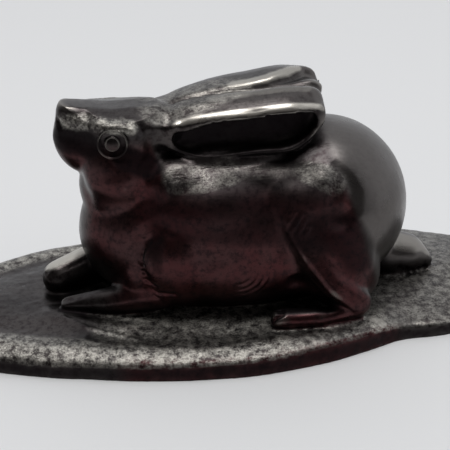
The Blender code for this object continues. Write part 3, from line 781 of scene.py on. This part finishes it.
def averaged(casting, values, times):
    """Spreads each point's values over its neighbours, once for each of times."""
    mesh = casting.data
    ends = np.empty(len(mesh.edges) * 2, np.int32)
    mesh.edges.foreach_get("vertices", ends)
    here, there = ends, ends.reshape(-1, 2)[:, ::-1].ravel()
    count = np.bincount(here, minlength=len(values))[:, None] + 1
    for _ in range(times):
        total = [np.bincount(here, weights=column[there], minlength=len(values)) for column in values.T]
        values = (values + np.stack(total, axis=1)) / count
    return values


def height_over_surroundings(casting):
    """How far each point stands above the skin round it, from -1 in a groove to 1 on an edge."""
    points = points_of(casting).astype(np.float64)
    above = (points - averaged(casting, points, SURROUNDINGS)) * normals_of(casting)
    height = above.sum(axis=1, keepdims=True) / WORN_HEIGHT
    return np.clip(averaged(casting, height, 2)[:, 0], -1, 1)


def openness(casting):
    """The share of short rays from each point that meet no other bronze.

    It is low in the ears, under the belly and in creases.
    """
    bpy.context.view_layer.update()
    tree = BVHTree.FromObject(casting, bpy.context.evaluated_depsgraph_get())
    turn = math.pi * (3 - math.sqrt(5))
    ways = []
    for i in range(RAYS):
        height = 1 - 2 * (i + 0.5) / RAYS
        across = math.sqrt(1 - height * height)
        ways.append((across * math.cos(turn * i), across * math.sin(turn * i), height))
    points = points_of(casting)
    normals = normals_of(casting)
    ahead = normals @ np.array(ways).T
    free = np.zeros(len(points))
    starts = points + normals * RAY_START
    directions = [Vector(way) for way in ways]
    for number, start in enumerate(starts):
        origin = Vector(start)
        for k in np.flatnonzero(ahead[number] > GRAZING):
            if tree.ray_cast(origin, directions[k], RAY_REACH)[0] is None:
                free[number] += ahead[number, k]
    share = free / np.where(ahead > GRAZING, ahead, 0).sum(axis=1)
    return averaged(casting, share[:, None], 7)[:, 0]


def near_line(casting, path, within, sides=(NEAR, FAR)):
    """1 on a line drawn on each of sides, fading to 0 at the distance within."""
    points = points_of(casting)
    share = np.zeros(len(points))
    for side in sides:
        line = [np.array(on_rabbit((x, side * out, z))) for x, out, z in path]
        distance = distance_to(points, line)[0]
        share = np.maximum(share, 1 - eased(distance, within * UNIT / 2, within * UNIT))
    return share


def grain_and_highlight_places(casting):
    """Where the cast skin is grainy, its bright speckles partly painted highlight: the base's rim most of
    all, and the crests, brows and ears' roots.
    """
    points = points_of(casting)
    along, height = points[:, 0], points[:, 2]
    facing_up = normals_of(casting)[:, 2]
    inward = distance_to(points * [1, 1, 0], edge_line())[0]
    on_base = 1 - eased(height, FEET - 0.2 * MM, FEET + 0.6 * MM)
    # Less grain, and so fewer bright speckles of painted highlight, on the rim past the middle and by the
    # notch.
    dim = eased(along, 3 * MM, 9 * MM) * (1 - eased(along, 17 * MM, 20 * MM))
    dim += eased(along, SHOULDER_CRISP, RISE_END)
    rim = (1 - eased(inward, SHOULDER_WIDTH, DIP_PLACE)) * eased(facing_up, 0.1, 0.5) * (1 - 0.5 * dim)
    middle = (0.95 - 0.35 * eased(along, -4 * MM, 8 * MM)) * eased(along, -34 * MM, -24 * MM)
    middle *= eased(facing_up, 0.3, 0.6)
    # Grainy crests, brows and ears' roots, their bright speckles partly painted highlight.
    crest = 0.45 * near_line(casting, [(-13.6, 9.4, 30.8), (-9.0, 9.8, 30.8), (-5.0, 9.4, 31.4)], 4.0)
    crest = np.maximum(crest, 0.28 * near_line(casting, [(-8.0, 9.2, 31.6), (8.0, 10.2, 31.4)], 2.8))
    crest = np.maximum(crest, 0.5 * near_line(casting, [(9.6, 11.4, 30.8), (13.4, 13.0, 29.8)], 3.6))
    brow_line = [(-32.0, 2.6, 40.0), (-28.0, 3.6, 39.8), (-25.2, 5.6, 39.9), (-21.0, 6.4, 39.6)]
    brow = 0.9 * near_line(casting, brow_line, 1.9)
    root = 0.6 * near_line(casting, [(-17.0, 3.0, 40.0), (-6.0, 2.6, 42.0), (-1.0, 1.0, 42.6)], 3.8)
    elsewhere = np.full(len(points), 0.12)
    return np.maximum.reduce([elsewhere, on_base * rim, on_base * middle, crest, brow, root])


def mark_eyes(casting, wear_and_sheen):
    """The rings of the eyes get painted highlight, and the grooves and pupils between them stay dark."""
    points = points_of(casting)
    for side in (NEAR, FAR):
        x, out, z = EYE
        facing = np.array(Vector((EYE_FACING[0], side * EYE_FACING[1], EYE_FACING[2])).normalized())
        offset = (points - np.array(on_rabbit((x, side * out, z)))) / UNIT
        deep = offset @ facing
        radius = np.linalg.norm(offset - deep[:, None] * facing, axis=1)
        near = (radius < 3.1) & (abs(deep) < 1.4)
        ringed = np.full(len(points), -0.5)
        for middle, thickness in EYE_RINGS:
            # Painted highlight on the rings.
            ringed[abs(radius - middle) < 0.8 * thickness] = 0.54
        wear_and_sheen[near] = ringed[near]


def paint_rim_highlights(casting, wear_and_sheen):
    """Painted highlight, on worn metal in part: the ears' rims, lip and ridge, the far paw, the tail and a
    corner of the base are brightest.
    """
    rim = [(-12.6, 6.0, 39.0), (-8.0, 7.0, 40.4), (0.0, 7.8, 41.0), (9.0, 7.6, 41.4), (12.4, 7.0, 40.8)]
    lip = [(-2.0, 1.2, 43.1), (4.0, 1.6, 43.7), (8.0, 3.2, 44.1), (10.5, 5.0, 44.5)]
    ridge = [(-6.0, RIDGE_ACROSS, 42.6), (4.0, RIDGE_ACROSS, 43.4), (10.0, RIDGE_ACROSS, 43.4)]
    paw = [(-26.0, 5.6, 12.0), (-35.6, 2.4, 10.0)]
    tail_top = [(29.0, 2.0, 10.8), (34.0, 1.8, 8.2)]
    corner = [(20.4, 18.4, 4.2), (21.4, 19.4, 3.9)]
    highlit_rims = np.maximum.reduce([
        near_line(casting, rim, 1.8),
        0.85 * near_line(casting, lip, 1.6, [FAR]),
        0.6 * near_line(casting, ridge, 2.2, [FAR]),
        0.95 * near_line(casting, paw, 2.6, [FAR]),
        0.7 * near_line(casting, tail_top, 3.2, [NEAR]),
        0.8 * near_line(casting, corner, 1.6, [NEAR]),
    ])
    # The painted highlight goes only on skin that faces up.
    facing_up = eased(normals_of(casting)[:, 2], 0.2, 0.5)
    np.maximum(wear_and_sheen, highlit_rims * facing_up, out=wear_and_sheen)


def in_shade(casting):
    """1 where painted shade goes: in the ears' hollows, on their lower rims and on the base's side."""
    points = points_of(casting)
    normals = normals_of(casting)
    along = points[:, 0] / UNIT
    across = abs(points[:, 1] - RABBIT_OFF_CENTRE) / UNIT
    height = (points[:, 2] - on_rabbit((0, 0, 0)).z) / UNIT
    lift = np.where(points[:, 1] > RABBIT_OFF_CENTRE, FAR_TIP_LIFT * ear_share(along), 0)
    over_floor = height - np.interp(along, *zip(*HOLLOW_FLOOR))
    under_roof = np.interp(along, *zip(*HOLLOW_ROOF)) + lift - height
    beside = ear_width(along) - across
    in_ear = (abs(along) < 13.5) & (abs(normals[:, 1]) > 0.3)
    hollow = in_ear & (over_floor > -0.2) & (under_roof > -0.1)
    hollow &= (beside > 0.7) & (beside < HOLLOW_DEPTH + 0.8)
    rim = in_ear & (abs(over_floor + 0.6) < 1.0) & (abs(beside - 0.6) < 0.9)
    side = (points[:, 2] < BASE_TOP) & (abs(normals[:, 2]) < 0.3)
    return np.maximum.reduce([1.0 * hollow, 0.6 * rim, 0.9 * side])


def painted_shade_places(casting):
    """Shallow places given painted shade.

    They are the snout, behind the eye, the elbow, the flank and under its fold, by the near paw and the
    hind foot's top.
    """
    snout = near_line(casting, [(-32.4, 2.4, 36.8), (-28.2, 5.0, 36.2)], 3.6)
    temple = near_line(casting, [(-22.2, 7.6, 34.2), (-18.0, 7.2, 32.4)], 3.2)
    elbow = near_line(casting, [(-17.4, 11.6, 19.4), (-17.0, 12.0, 15.4)], 2.6)
    fold = near_line(casting, [(8.0, 16.0, 22.0), (15.0, 16.0, 20.6), (17.0, 15.6, 16.6)], 5.6)
    flank = near_line(casting, [(-15.0, 11.6, 25.6), (-4.0, 14.6, 24.6), (10.0, 15.4, 24.4)], 7.5)
    ridge = near_line(casting, [(-4.0, 12.0, 28.6), (8.0, 12.6, 28.4)], 5.6)
    under_paw = near_line(casting, [(-34.5, 6.9, 4.9), (-24.0, 10.8, 4.9)], 1.3, [NEAR])
    foot = near_line(casting, [(3.4, 17.6, 8.0), (13.0, 17.8, 8.0)], 2.4)
    return np.maximum.reduce([
        0.9 * snout, temple, 0.8 * elbow, 0.85 * fold, 0.65 * flank, 0.7 * ridge, 0.8 * foot, under_paw
    ])


def on_rump(casting):
    """1 on the rabbit behind a line that leans back down from the end of the flank to the heel."""
    points = points_of(casting)
    along = points[:, 0] / UNIT
    height = (points[:, 2] - on_rabbit((0, 0, 0)).z) / UNIT
    return eased(along + 0.325 * height, 24.0, 25.6) * eased(height, 5.5, 8)


def painted_paleness(casting):
    """Painted light: the bronze is paler on the rump, and on upward-facing skin on top of the head and
    between the ears.
    """
    points = points_of(casting)
    facing_up = normals_of(casting)[:, 2]
    top = eased(points[:, 2], on_rabbit((0, 0, 38.5)).z, on_rabbit((0, 0, 39.5)).z)
    top *= eased(facing_up, 0.3, 0.6)
    between_ears = eased(points[:, 0] / UNIT, -8, 0) * (1 - eased(points[:, 1] / UNIT, 0, 4))
    return np.maximum(on_rump(casting), (0.15 + 0.3 * between_ears) * top)


def painted_redness(casting):
    """A painted reflection: the brown is reddest on upright skin, cheeks, arms, belly and thighs, but not the
    rump or the paws.
    """
    points = points_of(casting)
    normals = normals_of(casting)
    along = points[:, 0] / UNIT
    turned = abs(normals[:, 1]) - 0.15 * np.clip(normals[:, 2], 0, 1)
    height = (points[:, 2] - on_rabbit((0, 0, 0)).z) / UNIT
    above = height - 28 - 8 * (1 - eased(along, -18, -15))
    paws = (1 - eased(along, -28, -23)) * (1 - eased(height, 13, 16))
    elsewhere = np.maximum.reduce([on_rump(casting), eased(along, 23, 26), paws])
    return eased(turned, 0.2, 0.55) * (1 - eased(above, -2, 2)) * (1 - elsewhere)


def mark_skin(casting):
    """Everything the bronze needs to know of the skin: worn and highlighted, open and shaded, grainy, red,
    pale and furry places; the red and pale marks are painted reflection and light.
    """
    shade = averaged(casting, in_shade(casting)[:, None], 3)[:, 0]
    # Painted shade: the wear marks are weakened in the ears' hollows, on their lower rims and on the base's
    # side.
    wear_and_sheen = height_over_surroundings(casting) * (1 - 0.8 * shade)
    # Painted highlight is added to the wear on the eye rings, the ears' rims, lip and ridge, the far paw, the
    # tail and a base corner.
    mark_eyes(casting, wear_and_sheen)
    paint_rim_highlights(casting, wear_and_sheen)
    mark(casting, "wear_and_sheen", wear_and_sheen)
    # Painted shade: the open mark is lowered in the shaded places, so the bronze is painted darker there.
    painted_shade = np.maximum(shade, painted_shade_places(casting))
    mark(casting, "open", openness(casting) * (1 - 0.75 * painted_shade))
    mark(casting, "grain", grain_and_highlight_places(casting))
    mark(casting, "red", painted_redness(casting))
    mark(casting, "pale", painted_paleness(casting))
    mark(casting, "furry", eased(points_of(casting)[:, 2], FEET, FEET + 2 * MM))


# Bronze


def link(tree, source, target):
    tree.links.new(source, target)


def node(tree, kind, **values):
    made = tree.nodes.new(kind)
    for key, value in values.items():
        setattr(made, key, value)
    return made


def ramp(tree, source, stops):
    """A colour ramp; stops are (position, grey or colour)."""
    made = node(tree, "ShaderNodeValToRGB")
    elements = made.color_ramp.elements
    while len(elements) < len(stops):
        elements.new(0.5)
    for element, (position, colour) in zip(elements, stops):
        element.position = position
        if isinstance(colour, (int, float)):
            colour = (colour, colour, colour)
        element.color = (*colour, 1)
    link(tree, source, made.inputs["Fac"])
    return made.outputs["Color"]


def grain(tree, coordinates, scale, detail=4.0, roughness=0.5):
    made = node(tree, "ShaderNodeTexNoise")
    made.inputs["Scale"].default_value = scale
    made.inputs["Detail"].default_value = detail
    made.inputs["Roughness"].default_value = roughness
    link(tree, coordinates, made.inputs["Vector"])
    return made.outputs["Fac"]


def mixed(tree, share, first, second):
    """first, going over to second as share goes from 0 to 1."""
    made = node(tree, "ShaderNodeMix", data_type="RGBA")
    for value, name in ((share, "Factor"), (first, "A"), (second, "B")):
        socket = next(s for s in made.inputs if s.name == name and s.enabled)
        if isinstance(value, tuple):
            socket.default_value = (*value, 1)
        elif isinstance(value, (int, float)):
            socket.default_value = value
        else:
            link(tree, value, socket)
    return next(s for s in made.outputs if s.enabled)


def maths(tree, operation, first, second):
    made = node(tree, "ShaderNodeMath", operation=operation)
    for value, socket in ((first, made.inputs[0]), (second, made.inputs[1])):
        if isinstance(value, (int, float)):
            socket.default_value = value
        else:
            link(tree, value, socket)
    return made.outputs[0]


def attribute(tree, name):
    return node(tree, "ShaderNodeAttribute", attribute_name=name).outputs["Fac"]


def patina(tree, position, red, pale):
    """Brown in soft clouds, with painted reflection and light making it redder and paler where the skin is
    marked so, and with dark flecks.
    """
    clouds = grain(tree, position, 110, 5)
    brown = mixed(tree, ramp(tree, clouds, [(0.35, 0.0), (0.65, 1.0)]), DARK_BROWN, BROWN)
    # Painted light: paler where the skin is marked pale.
    brown = mixed(tree, pale, brown, LIT_PALE_BROWN)
    # Painted reflection: redder on upright skin.
    patchy = maths(tree, "MULTIPLY", red, ramp(tree, clouds, [(0.3, 0.45), (0.6, 1.0)]))
    ruddy = mixed(tree, patchy, brown, REFLECTED_RED_BROWN)
    flecks = ramp(tree, grain(tree, position, 900, 5, 0.7), [(0.36, 0.75), (0.54, 0.0)])
    flecks = maths(tree, "MULTIPLY", flecks, ramp(tree, pale, [(0.0, 1.0), (1.0, 0.15)]))
    return mixed(tree, flecks, ruddy, FLECK)


def shaded_and_grimed(tree, colour, wear_and_sheen, shut):
    """Painted shade where the skin is shut in, and darker patina in its grooves."""
    shaded_colour = mixed(tree, maths(tree, "MULTIPLY", shut, 0.85), colour, SHADE_BLACK)
    grooves = ramp(tree, maths(tree, "MULTIPLY", wear_and_sheen, -1), [(0.05, 0.0), (0.5, 1.0)])
    return mixed(tree, maths(tree, "MULTIPLY", grooves, 0.8), shaded_colour, GROOVE)


def worn_and_highlit(tree, colour, wear_and_sheen, open_skin, grain_and_highlight, speckle):
    """Bare metal along open edges, where the painted highlights on the rims and eyes also go, and in speckles
    where the skin is grainy, which are painted highlight in part.
    """
    edges = ramp(tree, wear_and_sheen, [(0.40, 0.0), (0.75, 0.35), (1.0, 1.0)])
    edges = maths(tree, "MULTIPLY", edges, ramp(tree, open_skin, [(0.4, 0.15), (0.75, 1.0)]))
    bright = mixed(tree, edges, colour, BRIGHT_METAL)
    # Painted highlight in part: bright speckles where the skin is grainy.
    peaks = ramp(tree, speckle, [(0.17, 0.0), (0.36, 1.0)])
    peaks = maths(tree, "MULTIPLY", peaks, ramp(tree, grain_and_highlight, [(0.2, 0.0), (1.0, 1.0)]))
    return mixed(tree, peaks, bright, DULL_METAL)


def dullness(tree, position, grain_and_highlight, shut):
    """The bronze's roughness: glossy patina, duller where it is grainy or shut in."""
    gloss = ramp(tree, grain(tree, position, 260, 4), [(0.3, 0.24), (0.7, 0.34)])
    coarser = maths(tree, "ADD", gloss, maths(tree, "MULTIPLY", grain_and_highlight, 0.15))
    return maths(tree, "ADD", coarser, maths(tree, "MULTIPLY", shut, 0.3))


def fine_relief(tree, position, grain_and_highlight, speckle):
    """Grain all over, and fine hair along the rabbit's length."""
    drawn = node(tree, "ShaderNodeMapping")
    drawn.inputs["Scale"].default_value = (0.15, 1.0, 0.6)
    link(tree, position, drawn.inputs["Vector"])
    hair = grain(tree, drawn.outputs["Vector"], 3200, 3)
    hair = maths(tree, "MULTIPLY", hair, attribute(tree, "furry"))
    bump = node(tree, "ShaderNodeBump")
    bump.inputs["Distance"].default_value = BUMP_HEIGHT
    link(tree, grain_and_highlight, bump.inputs["Strength"])
    link(tree, maths(tree, "ADD", speckle, hair), bump.inputs["Height"])
    return bump.outputs["Normal"]


def dark_bronze():
    """Near-black brown patina with painted light: reddish on upright skin, paler on the rump and top, painted
    shade where shut in, and paler metal on edges and grainy skin, partly painted highlight.
    """
    material = bpy.data.materials.new("dark_bronze")
    material.use_nodes = True
    tree = material.node_tree
    shader = tree.nodes["Principled BSDF"]
    shader.inputs["Metallic"].default_value = 1.0
    position = node(tree, "ShaderNodeTexCoord").outputs["Object"]
    wear_and_sheen, open_skin, grain_and_highlight, red, pale = (
        attribute(tree, name) for name in ("wear_and_sheen", "open", "grain", "red", "pale")
    )
    # How shut in the skin is: it sets the painted shade and the dullness.
    shut = ramp(tree, open_skin, [(0.25, 1.0), (0.75, 0.0)])
    speckle = maths(
        tree, "MULTIPLY", grain(tree, position, 2600, 5, 0.75), grain(tree, position, 700, 3, 0.6)
    )
    colour = shaded_and_grimed(tree, patina(tree, position, red, pale), wear_and_sheen, shut)
    colour = worn_and_highlit(tree, colour, wear_and_sheen, open_skin, grain_and_highlight, speckle)
    link(tree, colour, shader.inputs["Base Color"])
    link(tree, dullness(tree, position, grain_and_highlight, shut), shader.inputs["Roughness"])
    link(tree, fine_relief(tree, position, grain_and_highlight, speckle), shader.inputs["Normal"])
    return material


# Stage


def pale_floor():
    bpy.ops.object.select_all(action="DESELECT")
    bpy.ops.mesh.primitive_plane_add(size=FLOOR_SIZE, location=(0, 0, 0))
    floor = bpy.context.object
    floor.name = "pale_floor"
    material = bpy.data.materials.new("pale_floor")
    material.use_nodes = True
    shader = material.node_tree.nodes["Principled BSDF"]
    shader.inputs["Base Color"].default_value = (*FLOOR_COLOUR, 1)
    shader.inputs["Roughness"].default_value = 0.9
    floor.data.materials.append(material)
    return floor


def softbox():
    """One soft light overhead, turned to the middle of the piece."""
    light = bpy.data.lights.new("overhead", "AREA")
    light.energy = OVERHEAD_POWER
    light.shape = "RECTANGLE"
    light.size, light.size_y = OVERHEAD_SIZE
    lamp = bpy.data.objects.new("overhead", light)
    bpy.context.scene.collection.objects.link(lamp)
    lamp.location = OVERHEAD_PLACE
    middle = Vector((0, 0, 20 * MM))
    lamp.rotation_euler = (Vector(OVERHEAD_PLACE) - middle).to_track_quat("Z", "Y").to_euler()


def room_light():
    """Light from all round: pale behind the piece and dim in front of it."""
    world = bpy.data.worlds.new("studio")
    world.use_nodes = True
    tree = world.node_tree
    place = node(tree, "ShaderNodeTexCoord")
    toward = node(tree, "ShaderNodeSeparateXYZ")
    link(tree, place.outputs["Generated"], toward.inputs[0])
    right = maths(tree, "MULTIPLY", toward.outputs["X"], 0.30)
    behind = maths(tree, "MULTIPLY", toward.outputs["Y"], 0.50)
    lit = maths(tree, "ADD", maths(tree, "ADD", right, behind), 0.5)
    room = ramp(tree, lit, [(0.30, ROOM_DARK), (0.62, ROOM_LIGHT)])
    link(tree, room, tree.nodes["Background"].inputs["Color"])
    bpy.context.scene.world = world


def add_camera():
    azimuth, elevation = math.radians(CAMERA_AZIMUTH), math.radians(CAMERA_ELEVATION)
    back = Vector((
        math.sin(azimuth) * math.cos(elevation), -math.cos(azimuth) * math.cos(elevation), math.sin(elevation)
    ))
    data = bpy.data.cameras.new("photo_camera")
    data.lens = CAMERA_LENS
    data.clip_start = 10 * MM
    camera = bpy.data.objects.new("photo_camera", data)
    bpy.context.scene.collection.objects.link(camera)
    camera.location = Vector(CAMERA_TARGET) + back * CAMERA_DISTANCE
    camera.rotation_euler = back.to_track_quat("Z", "Y").to_euler()
    bpy.context.scene.camera = camera


def plain_colours():
    bpy.context.scene.view_settings.view_transform = "Standard"


def main():
    rabbit = model_rabbit()
    rabbit.data.materials.clear()
    rabbit.data.materials.append(dark_bronze())
    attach(rabbit, "root")
    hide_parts(NODE)
    floor = pale_floor()
    room_light()
    softbox()
    add_camera()
    plain_colours()


main()
